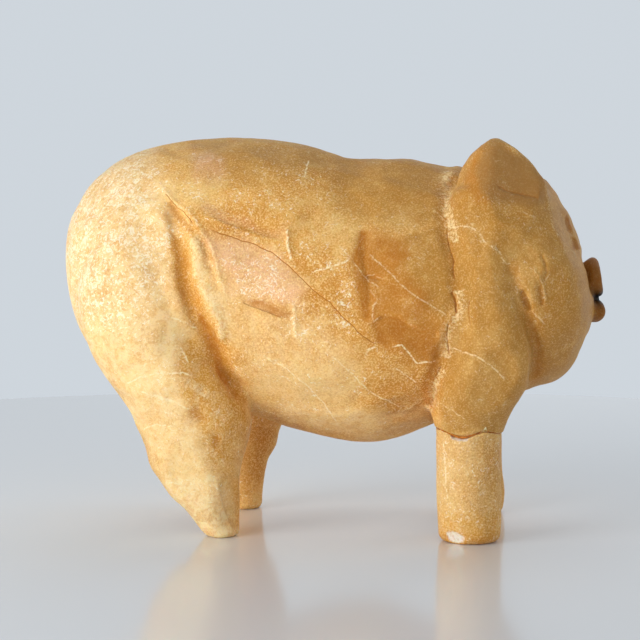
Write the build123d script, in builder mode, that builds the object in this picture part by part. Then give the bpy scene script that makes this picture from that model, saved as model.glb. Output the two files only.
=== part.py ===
from build123d import *
import os

# Carved stone pig, standing, with one foreleg broken at the knee and glued back on.
# Millimetres. The pig faces +X, +Z is up, and its right flank is on the -Y side.
# The origin is on the table, under the middle of the figure.

# Trunk: rump to snout, table to back, table to belly, and across the flanks
figure_length = 150.0
back_height = 108.1
belly_height = 23.6
body_width = 75.0

# Forelegs, shoulders and ears, which are one continuous column on each side
fore_stance = 22.7
fore_leg_depth = 17.3
fore_leg_width = 16.2
shoulder_depth = 25.8
shoulder_width = 23.2
ear_height = 107.9

# Hind legs, from the sole up to where the hip runs into the rump
hind_stance = 22.2
hind_foot_depth = 8.9
hind_foot_width = 10.8
thigh_depth = 36.8
thigh_width = 29.3
hip_height = 89.0
left_thigh_lead = 4.0

# Rounding of the edge of a foreleg's sole and of a hind foot's sole
fore_sole_round = 2.2
hind_sole_round = 1.2

# Nose disc and lower lip, which both stand out of the face
nose_level = 69.7
nose_height = 10.9
nose_width = 17.0
nose_round = 1.4
nose_reach = 12.0
lip_level = 60.5
lip_height = 6.6
lip_width = 13.0
lip_setback = 0.4
lip_round = 1.2
nostril_diameter = 2.8
nostril_depth = 2.2
nostril_spacing = 7.0

# Grooves carved round the thigh, behind the shoulder and between shoulder and cheek
groove_depth = 1.4
hip_groove_width = 4.4
neck_groove_width = 3.2
cheek_groove_width = 3.2

# Break in the right foreleg: its height, its rise and fall, and the glue that fills it
break_height = 29.7
break_wave = 1.0
glue_thickness = 0.6

# Sections of the trunk: place along the figure, underside, top, width and widest level
trunk_shares = [
    (0.012, 0.456, 0.749, 0.324, 0.46),
    (0.044, 0.313, 0.842, 0.608, 0.46),
    (0.101, 0.200, 0.927, 0.811, 0.46),
    (0.202, 0.110, 0.987, 0.946, 0.46),
    (0.337, 0.079, 1.000, 0.978, 0.46),
    (0.458, 0.026, 0.972, 1.000, 0.46),
    (0.545, 0.000, 0.934, 1.000, 0.46),
    (0.633, 0.022, 0.927, 0.980, 0.46),
    (0.720, 0.086, 0.906, 0.945, 0.46),
    (0.808, 0.152, 0.898, 0.925, 0.50),
    (0.882, 0.182, 0.860, 0.878, 0.55),
    (0.929, 0.227, 0.767, 0.770, 0.54),
    (0.963, 0.317, 0.626, 0.514, 0.50),
    (0.978, 0.397, 0.510, 0.243, 0.46),
]
rump_point_shares = (0.0, 0.612)
face_point_shares = (0.982, 0.453)

# Sections of the lower foreleg: level as part of the break's height, shift forward and size
foot_shares = [
    (0.00, 0.020, 0.95),
    (0.50, 0.000, 1.00),
    (0.94, -0.012, 0.98),
]

# Sections of a shoulder, from the break to the ear: level, shift forward, depth, stance, width
shoulder_shares = [
    (0.030, 0.010, 0.755, 1.040, 0.730),
    (0.085, 0.038, 0.869, 1.090, 0.820),
    (0.197, 0.190, 0.965, 1.130, 0.940),
    (0.326, 0.241, 0.861, 1.135, 1.000),
    (0.468, 0.202, 0.681, 1.120, 1.000),
    (0.610, 0.170, 0.728, 1.067, 0.985),
    (0.739, 0.237, 0.948, 0.981, 0.890),
    (0.855, 0.288, 0.877, 0.885, 0.680),
    (0.946, 0.280, 0.478, 0.821, 0.420),
]
ear_tip_shares = (0.245, 0.800)
fore_leg_x_share = 0.2585

# Sections of a hind leg above the sole: level, shift back, depth, stance, width, and how much
# of the left thigh's lead it has
hind_shares = [
    (0.068, 0.063, 0.374, 1.000, 0.455, 0.1),
    (0.148, 0.154, 0.549, 1.000, 0.566, 0.4),
    (0.227, 0.210, 0.705, 1.005, 0.662, 0.8),
    (0.318, 0.213, 0.832, 1.020, 0.759, 1.0),
    (0.420, 0.280, 0.929, 1.035, 0.848, 0.9),
    (0.534, 0.440, 0.995, 1.045, 0.938, 0.6),
    (0.659, 0.544, 1.000, 1.045, 1.000, 0.4),
    (0.784, 0.580, 0.934, 1.000, 1.000, 0.2),
    (0.898, 0.599, 0.769, 0.909, 0.931, 0.1),
    (1.000, 0.613, 0.549, 0.773, 0.759, 0.0),
]
hind_foot_x_share = -0.185

# Lines of the grooves on the flank: place along the figure and level
hip_groove_shares = [
    (0.236, 0.773),
    (0.251, 0.676),
    (0.265, 0.564),
    (0.281, 0.437),
    (0.311, 0.330),
    (0.350, 0.183),
]
neck_groove_shares = [
    (0.728, 0.870),
    (0.714, 0.748),
    (0.728, 0.644),
    (0.735, 0.500),
    (0.722, 0.366),
    (0.698, 0.244),
    (0.689, 0.140),
]
cheek_groove_shares = [
    (0.821, 0.619),
    (0.843, 0.530),
    (0.857, 0.451),
    (0.873, 0.346),
    (0.870, 0.231),
]

# Break line across the leg: place along the leg's depth, and height as part of the wave
break_line_shares = [
    (-1.50, 0.6),
    (-0.80, 0.5),
    (-0.35, 0.3),
    (-0.08, -1.0),
    (0.22, 0.6),
    (0.48, -0.4),
    (0.80, -0.2),
    (2.00, 0.0),
]

rear_x = -figure_length / 2
front_x = figure_length / 2
barrel_height = back_height - belly_height
fore_leg_x = fore_leg_x_share * figure_length
hind_foot_x = hind_foot_x_share * figure_length
shoulder_height = ear_height - break_height


def level(share):
    """Height above the table of a share of the barrel's height."""
    return belly_height + share * barrel_height


def along(share):
    """Place along the figure, from the rump to the snout."""
    return rear_x + share * figure_length


def trunk_section(inset, x_share, bottom_share, top_share, width_share, widest_share):
    """Upright section of the trunk: two half ovals that meet at the widest level."""
    bottom, top = level(bottom_share), level(top_share)
    middle = bottom + (top - bottom) * widest_share
    half_width = width_share * body_width / 2 - inset
    above = top - middle - inset
    below = middle - bottom - inset
    with BuildSketch(Plane.YZ.offset(along(x_share))) as section:
        with BuildLine():
            EllipticalCenterArc((0, middle), half_width, above, start_angle=0, arc_size=180)
            EllipticalCenterArc((0, middle), half_width, below, start_angle=180, arc_size=180)
        make_face()
    return section.sketch


def limb_section(inset, x, y, z, depth, width):
    """Level oval section of a leg, shoulder or ear."""
    with BuildSketch(Plane.XY.offset(z)) as section:
        with Locations((x, y)):
            Ellipse(depth / 2 - inset, width / 2 - inset)
    return section.sketch


def foot_sections():
    """Lower foreleg, from the sole to just under the break."""
    return [
        limb_section(
            0,
            fore_leg_x + shift_share * fore_leg_depth,
            fore_stance,
            z_share * break_height,
            size_share * fore_leg_depth,
            size_share * fore_leg_width,
        )
        for z_share, shift_share, size_share in foot_shares
    ]


def shoulder_sections(inset):
    """Upper foreleg, shoulder and ear, above the break."""
    return [
        limb_section(
            inset,
            fore_leg_x + shift_share * shoulder_depth,
            stance_share * fore_stance,
            break_height + z_share * shoulder_height,
            depth_share * shoulder_depth,
            width_share * shoulder_width,
        )
        for z_share, shift_share, depth_share, stance_share, width_share in shoulder_shares
    ]


def hind_sections(inset, lead):
    """Hind leg and thigh, from the ankle to the hip, with the thigh carried forward by lead."""
    return [
        limb_section(
            inset,
            hind_foot_x - shift_share * thigh_depth + lead_share * lead,
            stance_share * hind_stance,
            z_share * hip_height,
            depth_share * thigh_depth,
            width_share * thigh_width,
        )
        for z_share, shift_share, depth_share, stance_share, width_share, lead_share in hind_shares
    ]


def groove_band(shares, width):
    """Outline of a groove, as seen from the side."""
    with BuildSketch(Plane.XZ) as band:
        with BuildLine():
            Spline(*[(along(x_share), level(z_share)) for x_share, z_share in shares])
        trace(line_width=width)
    return band.sketch


def slab_at_break(low, high):
    """Slab between two copies of the break line, at heights low and high from it."""
    line = [
        (fore_leg_x + x_share * fore_leg_depth, break_height + z_share * break_wave)
        for x_share, z_share in break_line_shares
    ]
    with BuildSketch(Plane.XZ) as profile:
        with BuildLine():
            lower = Spline(*[(x, z + low) for x, z in line])
            upper = Spline(*[(x, z + high) for x, z in line])
            Line(lower @ 0, upper @ 0)
            Line(lower @ 1, upper @ 1)
        make_face()
    return profile.sketch


# Trunk and head, one smooth form from the rump to the face
rump_point = Vertex(along(rump_point_shares[0]), 0, level(rump_point_shares[1]))
face_point = Vertex(along(face_point_shares[0]), 0, level(face_point_shares[1]))
trunk_sections = [trunk_section(0, *shares) for shares in trunk_shares]
with BuildPart() as trunk:
    loft([rump_point, *trunk_sections, face_point])

# Forelegs, shoulders and ears, the left one first
ear_tip = Vertex(
    fore_leg_x + ear_tip_shares[0] * shoulder_depth,
    ear_tip_shares[1] * fore_stance,
    ear_height,
)
left_foot_sections = foot_sections()
left_shoulder_sections = shoulder_sections(0)
with BuildPart() as left_foot:
    loft(left_foot_sections)
    fillet(left_foot.edges().group_by(Axis.Z)[0], fore_sole_round)
with BuildPart() as left_column:
    loft([left_foot_sections[-1], *left_shoulder_sections, ear_tip])
    add(left_foot.part)
with BuildPart() as right_column:
    mirror(left_column.part, about=Plane.XZ)

# Hind legs and thighs. The left thigh stands a little further forward than the right one
hind_sole = limb_section(0, hind_foot_x, hind_stance, 0, hind_foot_depth, hind_foot_width)
left_hind_sections = hind_sections(0, left_thigh_lead)
with BuildPart() as left_hind:
    loft([hind_sole, *left_hind_sections])
    fillet(left_hind.edges().group_by(Axis.Z)[0], hind_sole_round)
plain_hind_sections = hind_sections(0, 0)
with BuildPart() as plain_hind:
    loft([hind_sole, *plain_hind_sections])
    fillet(plain_hind.edges().group_by(Axis.Z)[0], hind_sole_round)
with BuildPart() as right_hind:
    mirror(plain_hind.part, about=Plane.XZ)

# Nose disc with two nostrils, and the lower lip under it
with BuildPart() as nose:
    with BuildSketch(Plane.YZ.offset(front_x)):
        with Locations((0, nose_level)):
            Ellipse(nose_width / 2, nose_height / 2)
    extrude(amount=-nose_reach)
    fillet(nose.edges().group_by(Axis.X)[-1], nose_round)
    with BuildSketch(Plane.YZ.offset(front_x)):
        with Locations((-nostril_spacing / 2, nose_level), (nostril_spacing / 2, nose_level)):
            Circle(nostril_diameter / 2)
    extrude(amount=-nostril_depth, mode=Mode.SUBTRACT)
with BuildPart() as lip:
    with BuildSketch(Plane.YZ.offset(front_x - lip_setback)):
        with Locations((0, lip_level)):
            Ellipse(lip_width / 2, lip_height / 2)
    extrude(amount=lip_setback - nose_reach)
    fillet(lip.edges().group_by(Axis.X)[-1], lip_round)

# What the knife leaves under the grooves: the same forms, smaller all round by the groove's depth
core_trunk_sections = [trunk_section(groove_depth, *shares) for shares in trunk_shares[1:-1]]
core_shoulder_sections = shoulder_sections(groove_depth)
core_left_sections = hind_sections(groove_depth, left_thigh_lead)
core_plain_sections = hind_sections(groove_depth, 0)
with BuildPart() as trunk_core:
    loft(core_trunk_sections)
with BuildPart() as left_shoulder_core:
    loft(core_shoulder_sections)
with BuildPart() as left_thigh_core:
    loft(core_left_sections)
with BuildPart() as plain_thigh_core:
    loft(core_plain_sections)

# The grooves, the same on both flanks
hip_band = groove_band(hip_groove_shares, hip_groove_width)
neck_band = groove_band(neck_groove_shares, neck_groove_width)
cheek_band = groove_band(cheek_groove_shares, cheek_groove_width)
with BuildPart() as grooves:
    extrude(hip_band, amount=body_width, both=True)
    extrude(neck_band, amount=body_width, both=True)
    extrude(cheek_band, amount=body_width, both=True)
    add(trunk_core.part, mode=Mode.SUBTRACT)
    add(left_shoulder_core.part, mode=Mode.SUBTRACT)
    mirror(left_shoulder_core.part, about=Plane.XZ, mode=Mode.SUBTRACT)
    add(left_thigh_core.part, mode=Mode.SUBTRACT)
    mirror(plain_thigh_core.part, about=Plane.XZ, mode=Mode.SUBTRACT)

# The right foreleg below its break
below_break = slab_at_break(-back_height, -glue_thickness / 2)
with BuildPart() as right_foreleg:
    add(right_column.part)
    extrude(below_break, amount=body_width, both=True, mode=Mode.INTERSECT)

# The glue that fills the break, as wide as the leg
at_break = slab_at_break(-glue_thickness / 2, glue_thickness / 2)
with BuildPart() as foreleg_glue:
    add(right_column.part)
    extrude(at_break, amount=body_width, both=True, mode=Mode.INTERSECT)

# The rest of the right column, above the break
above_break = slab_at_break(glue_thickness / 2, back_height)
with BuildPart() as right_stump:
    add(right_column.part)
    extrude(above_break, amount=body_width, both=True, mode=Mode.INTERSECT)

# The block that the figure was carved from: all of it but the broken leg
with BuildPart() as carved_block:
    add(trunk.part)
    add(left_column.part)
    add(right_stump.part)
    add(left_hind.part)
    add(right_hind.part)
    add(nose.part)
    add(lip.part)
    add(grooves.part, mode=Mode.SUBTRACT)

carved_block.part.label = "carved_block"
right_foreleg.part.label = "right_foreleg"
foreleg_glue.part.label = "foreleg_glue"

os.makedirs("parts", exist_ok=True)
export_step(carved_block.part, "parts/carved_block.step")
export_step(right_foreleg.part, "parts/right_foreleg.step")
export_step(foreleg_glue.part, "parts/foreleg_glue.step")
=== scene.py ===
import math
from typing import NamedTuple

import bmesh
import bpy
import numpy as np
from mathutils import Matrix, Vector
from mathutils.bvhtree import BVHTree


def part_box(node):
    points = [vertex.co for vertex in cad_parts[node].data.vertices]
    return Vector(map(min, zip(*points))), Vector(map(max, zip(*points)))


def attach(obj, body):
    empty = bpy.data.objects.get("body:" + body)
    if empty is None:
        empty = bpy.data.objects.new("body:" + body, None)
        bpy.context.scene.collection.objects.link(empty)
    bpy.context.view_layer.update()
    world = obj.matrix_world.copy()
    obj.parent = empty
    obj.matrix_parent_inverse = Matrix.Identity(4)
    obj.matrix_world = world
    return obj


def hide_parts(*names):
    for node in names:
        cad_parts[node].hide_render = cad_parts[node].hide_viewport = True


# Carved stone pig with a mended foreleg. Shapes are worked on in millimetres, and pixel
# places (_PX) are in the 640 by 640 frame of the photograph.

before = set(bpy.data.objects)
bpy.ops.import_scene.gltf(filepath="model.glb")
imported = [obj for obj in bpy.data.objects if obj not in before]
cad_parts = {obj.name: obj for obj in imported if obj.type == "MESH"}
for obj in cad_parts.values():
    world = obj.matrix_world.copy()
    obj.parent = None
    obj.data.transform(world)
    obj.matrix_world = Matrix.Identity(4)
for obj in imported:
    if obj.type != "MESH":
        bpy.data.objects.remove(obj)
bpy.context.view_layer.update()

MM = 0.001
SEED = 41

# The photograph's camera
IMAGE_PX = 640
FOCAL_PX = 1800.0
SENSOR_MM = 36.0
CAMERA_TARGET = np.array((-3.59, 0.0, 57.27))
CAMERA_AZIMUTH = math.radians(6.0)
CAMERA_ELEVATION = math.radians(4.0)
CAMERA_DISTANCE = 505.0

CAMERA_BACK = np.array((
    math.sin(CAMERA_AZIMUTH) * math.cos(CAMERA_ELEVATION),
    -math.cos(CAMERA_AZIMUTH) * math.cos(CAMERA_ELEVATION),
    math.sin(CAMERA_ELEVATION),
))
CAMERA_RIGHT = np.array((math.cos(CAMERA_AZIMUTH), math.sin(CAMERA_AZIMUTH), 0.0))
CAMERA_UP = np.cross(CAMERA_BACK, CAMERA_RIGHT)
CAMERA_PLACE = CAMERA_TARGET + CAMERA_DISTANCE * CAMERA_BACK
MIRROR = np.array((1, -1, 1))

# Mesh fineness
BODY_GRID = 1.0
LEG_GRID = 0.42
GLUE_GRID = 0.2
TRACE_STEP_PX = 3.0
LINE_REACH = 11.0

# Break in the right foreleg, from the glue's box
glue_low, glue_high = (np.array(corner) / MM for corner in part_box("foreleg_glue"))
BREAK_CENTRE = (glue_low + glue_high) / 2
LEG_RADIUS = (glue_high[0] - glue_low[0]) / 2

# On the far side, a line in or beside a groove of the solid runs alike. The others are loose and wander
ALIKE, LOOSE = "alike", "loose"


class Line(NamedTuple):
    """A line of the carving, as it shows in the photograph, and what it is on the stone."""

    pixels: list
    # Set where the far side has the line too, because a carver works both sides alike
    far: str = ""
    # Rounded groove or ridge: depth (negative stands proud) and half width
    groove: tuple = ()
    # Scoop with one sharp edge: depth, reach, the width of that edge, and 1 if it lies to the left of
    # the way the line is drawn
    scoop: tuple = ()
    # Narrow crack or cut: depth and half width of the shape, half width and strength of the colour
    crack: tuple = ()
    # Pale vein: half width and strength of the colour
    vein: tuple = ()
    # Pale crumbs along a ridge or in a groove: half width and strength
    crumb: tuple = ()


LINES_PX = {
    "hip_valley": Line([(170, 212), (174, 228), (179, 243), (183, 258), (185, 272), (188, 290), (196, 310),
        (206, 331), (221, 368), (235, 397), (246, 415)], far=ALIKE, groove=(0.25, 1.8)),
    "hip_crumble": Line([(191, 234), (194, 243), (196, 252), (196, 264), (199, 276), (201, 284), (207, 292),
        (212, 302), (217, 314), (220, 326), (223, 342)], far=ALIKE, groove=(-0.5, 1.7), crumb=(2.3, 0.85)),
    "hip_side_valley": Line([(202, 238), (206, 248), (209, 262), (211, 276), (213, 290)], far=ALIKE,
        groove=(0.3, 0.8)),
    "hip_outer_ridge": Line([(157, 179), (163, 190), (171, 199), (179, 206), (188, 212), (195, 220),
        (200, 229), (204, 236), (209, 243), (213, 253), (217, 264), (219, 277), (224, 288), (228, 300)],
        far=LOOSE, groove=(-0.35, 0.8), vein=(0.34, 0.4)),
    "hip_crack": Line([(165, 193), (172, 201), (177, 207), (184, 212), (190, 219), (193, 224)],
        scoop=(0.45, 2.4, 0.3, -1), crack=(0.14, 0.3, 0.18, 0.85)),
    "hip_plane_edge": Line([(196, 213), (212, 217), (230, 225), (250, 232), (270, 238), (284, 242)],
        far=LOOSE, groove=(-0.15, 0.8), scoop=(0.35, 4.0, 0.4, 1)),
    "flank_crack": Line([(207, 229), (214, 231), (222, 234), (232, 237), (243, 241), (252, 243), (260, 247),
        (268, 251), (273, 253), (280, 259), (286, 264), (290, 267), (297, 274), (304, 281), (310, 287),
        (318, 294), (330, 302), (338, 312), (345, 319), (352, 325), (358, 332), (364, 337), (371, 342),
        (380, 346)], scoop=(0.2, 3.5, 0.3, -1), crack=(0.12, 0.3, 0.18, 0.9)),
    "knife_cut": Line([(242, 302), (250, 306), (262, 310), (272, 314), (282, 318)], far=LOOSE,
        scoop=(0.6, 1.7, 0.2, 1), crack=(0.1, 0.3, 0.2, 0.45)),
    "flank_edge": Line([(360, 226), (361, 240), (361, 255), (363, 272), (367, 292), (368, 318)], far=LOOSE,
        scoop=(0.5, 5.0, 1.4, 1)),
    "flank_ridge": Line([(344, 238), (348, 262), (352, 285), (355, 308)], far=LOOSE, groove=(-0.2, 2.6)),
    "diagonal_vein": Line([(367, 252), (379, 263), (390, 273), (401, 284), (412, 294), (430, 305),
        (448, 316)], far=LOOSE, vein=(0.22, 0.51)),
    "upper_diagonal": Line([(338, 245), (345, 252), (351, 259), (359, 270), (366, 279), (380, 288)],
        vein=(0.24, 0.51)),
    "lens_cut": Line([(366, 277), (369, 275), (374, 275), (385, 280)], scoop=(0.3, 1.2, 0.25, -1),
        vein=(0.18, 0.34)),
    "white_streak": Line([(311, 272), (330, 267), (349, 260)], vein=(0.28, 0.95)),
    "upper_tick": Line([(287, 228), (287, 243), (290, 260)], groove=(-0.3, 0.6), scoop=(0.25, 4.0, 0.4, -1),
        vein=(0.4, 0.95)),
    "lower_tick": Line([(294, 302), (294, 321), (296, 339)], far=LOOSE, groove=(-0.25, 0.7),
        scoop=(0.2, 3.5, 0.5, -1), vein=(0.5, 0.64)),
    "hollow_edge": Line([(373, 322), (382, 316), (390, 317), (400, 320), (408, 324), (418, 329),
        (438, 332)], far=LOOSE, scoop=(0.4, 4.5, 0.4, -1)),
    "facet_lip": Line([(370, 289), (373, 295), (378, 300), (373, 306), (372, 315), (373, 322), (382, 316)],
        groove=(-0.12, 0.5), vein=(0.24, 0.51)),
    "lower_vein": Line([(392, 347), (402, 345), (408, 352), (413, 359), (418, 363), (437, 361)],
        vein=(0.24, 0.85)),
    "lip_tick": Line([(377, 346), (368, 350), (365, 357)], vein=(0.28, 0.85)),
    "squiggle": Line([(321, 343), (326, 341), (331, 345), (327, 352)], vein=(0.25, 0.51)),
    "belly_vein_a": Line([(266, 358), (286, 368), (310, 388), (326, 406), (338, 425)], far=LOOSE,
        vein=(0.24, 0.8)),
    "belly_flakes": Line([(262, 355), (272, 360), (282, 364), (292, 369)], crumb=(0.9, 0.7)),
    "belly_vein_b": Line([(330, 354), (350, 372), (370, 392), (402, 408)], far=LOOSE, vein=(0.22, 0.7)),
    "belly_vein_c": Line([(396, 368), (416, 382)], vein=(0.22, 0.8)),
    "belly_vein_d": Line([(402, 412), (414, 405), (424, 397)], vein=(0.22, 0.59), crumb=(1.0, 0.5)),
    "back_scratch": Line([(304, 176), (309, 160)], vein=(0.26, 1.0)),
    "thigh_vein_a": Line([(126, 384), (138, 378), (152, 374), (170, 372)], far=LOOSE, vein=(0.26, 0.85)),
    "thigh_vein_b": Line([(142, 430), (156, 424), (172, 426)], vein=(0.26, 0.8)),
    "thigh_vein_c": Line([(153, 394), (162, 397), (172, 403)], vein=(0.3, 0.8), crumb=(1.6, 0.6)),
    "thigh_vein_d": Line([(168, 317), (180, 320), (190, 325), (198, 329)], vein=(0.26, 0.85)),
    "thigh_vein_e": Line([(180, 346), (183, 352), (186, 358), (188, 363)], vein=(0.28, 0.85)),
    "thigh_vein_f": Line([(160, 371), (170, 374), (182, 373), (192, 375)], vein=(0.28, 0.95)),
    "thigh_vein_g": Line([(140, 392), (152, 395), (162, 399), (170, 400), (180, 405), (190, 410)],
        vein=(0.3, 0.9), crumb=(0.9, 0.5)),
    "thigh_vein_h": Line([(164, 483), (174, 482), (184, 486)], vein=(0.3, 0.8)),
    "thigh_crumbs": Line([(186, 382), (194, 388), (202, 390), (208, 396)], crumb=(1.8, 0.7)),
    "neck_groove": Line([(459, 165), (452, 174), (447, 186), (445, 200), (444, 216), (448, 237), (452, 250),
        (454, 264), (455, 281), (455, 297), (457, 312), (451, 320), (448, 335), (448, 352), (442, 364),
        (434, 379), (430, 396), (429, 418)], far=ALIKE, groove=(-0.4, 1.9)),
    "neck_fissure_a": Line([(447, 227), (447, 236), (449, 246), (454, 260), (453, 270), (455, 282)],
        far=ALIKE, crack=(0.3, 0.3, 0.2, 0.7)),
    "neck_fissure_b": Line([(452, 292), (455, 300), (457, 313)], crack=(0.5, 0.45, 0.36, 0.8)),
    "neck_fissure_c": Line([(448, 323), (447, 335), (448, 345), (449, 355)], far=ALIKE,
        crack=(0.3, 0.3, 0.2, 0.7)),
    "neck_fissure_d": Line([(441, 366), (437, 374), (433, 381)], crack=(0.25, 0.3, 0.2, 0.5)),
    "neck_crack": Line([(469, 300), (469, 312), (470, 326)], crack=(0.25, 0.3, 0.18, 0.6)),
    "neck_residue_a": Line([(450, 170), (446, 178), (445, 190), (446, 205), (453, 228), (457, 246)],
        far=ALIKE, crumb=(2.6, 0.75)),
    "neck_residue_b": Line([(457, 288), (461, 301), (459, 315), (449, 326), (446, 340), (447, 360)],
        far=ALIKE, crumb=(1.9, 0.75)),
    "neck_residue_c": Line([(443, 366), (436, 384), (430, 403), (432, 416)], far=ALIKE, crumb=(2.2, 0.7)),
    "shoulder_vein_a": Line([(430, 208), (441, 216), (453, 227), (468, 226), (479, 232), (487, 244),
        (499, 252), (508, 266)], far=LOOSE, vein=(0.22, 0.55), crumb=(1.0, 0.45)),
    "shoulder_vein_b": Line([(450, 346), (458, 350), (480, 358), (493, 367), (506, 380)], far=LOOSE,
        vein=(0.24, 0.59)),
    "shoulder_vein_c": Line([(430, 398), (441, 404), (453, 411), (466, 420)], vein=(0.22, 0.51)),
    "shoulder_vein_d": Line([(488, 412), (490, 424)], vein=(0.22, 0.42)),
    "cheek_crease": Line([(508, 262), (515, 273), (519, 288), (524, 300), (528, 311), (532, 326),
        (536, 345), (537, 365), (534, 385)], far=ALIKE, groove=(0.25, 1.1)),
    "cheek_vein": Line([(532, 312), (545, 324)], far=LOOSE, vein=(0.22, 0.51)),
    "cheek_cut_a": Line([(541, 254), (545, 262), (547, 272), (544, 281)], far=LOOSE, groove=(0.25, 0.6),
        crack=(0.1, 0.3, 0.25, 0.4)),
    "cheek_cut_b": Line([(533, 266), (538, 276), (543, 284), (545, 293), (545, 303)], groove=(-0.2, 0.45),
        vein=(0.2, 0.3)),
    "cheek_cut_c": Line([(550, 273), (547, 278), (543, 283)], vein=(0.2, 0.42)),
    "ear_crease": Line([(497, 185), (507, 191), (520, 194), (540, 198)], far=LOOSE, groove=(0.2, 0.6),
        scoop=(0.3, 3.0, 0.4, 1), crack=(0.1, 0.3, 0.28, 0.4)),
    "ear_pale_crease": Line([(522, 212), (529, 214), (536, 218)], groove=(-0.15, 0.5), vein=(0.24, 0.42)),
    "ear_edge": Line([(489, 141), (479, 153), (469, 168), (465, 185), (468, 205)], far=ALIKE,
        groove=(-0.2, 2.0)),
    "brow": Line([(545, 181), (548, 200), (552, 226), (562, 243), (577, 254)], far=ALIKE,
        groove=(-0.35, 1.0), vein=(0.3, 0.26)),
    "shank_edge": Line([(217, 478), (221, 500), (227, 518), (234, 534)], far=LOOSE, groove=(-0.25, 0.8),
        scoop=(0.3, 3.0, 0.4, 1)),
    "leg_streak": Line([(443, 439), (445, 462), (446, 485)]),
    "leg_vein": Line([(440, 481), (446, 488), (448, 500)]),
}


def lines_with(kind):
    """The lines that are of one kind, each with the numbers for it."""
    return {name: getattr(line, kind) for name, line in LINES_PX.items() if getattr(line, kind)}


GROOVES = lines_with("groove")
SCOOPS = lines_with("scoop")
CRACKS = lines_with("crack")
VEINS = lines_with("vein")
CRUMBS = lines_with("crumb")
FAR_WOBBLE_PX = 6.0
FAR_WAVE_PX = 37.0
# How far the edges of patches wander, on both sides and on the far side
EDGE_DRIFT_PX = 4.5
FAR_DRIFT_PX = 14.0
# On the far side, patches with edges up to this soft are fainter
FAINT_SOFT_PX = 10.0
FAR_FAINT = 0.6

# How far cracks and veins jitter
VEIN_JITTER_PX = 0.4
CRACK_JITTER_PX = 0.2


def outlined(outline, soft, depth=0.0, **powers):
    """A patch of the photograph: its outline, softness of the edge in pixels, depth, and marks."""
    return outline, soft, depth, powers


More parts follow.
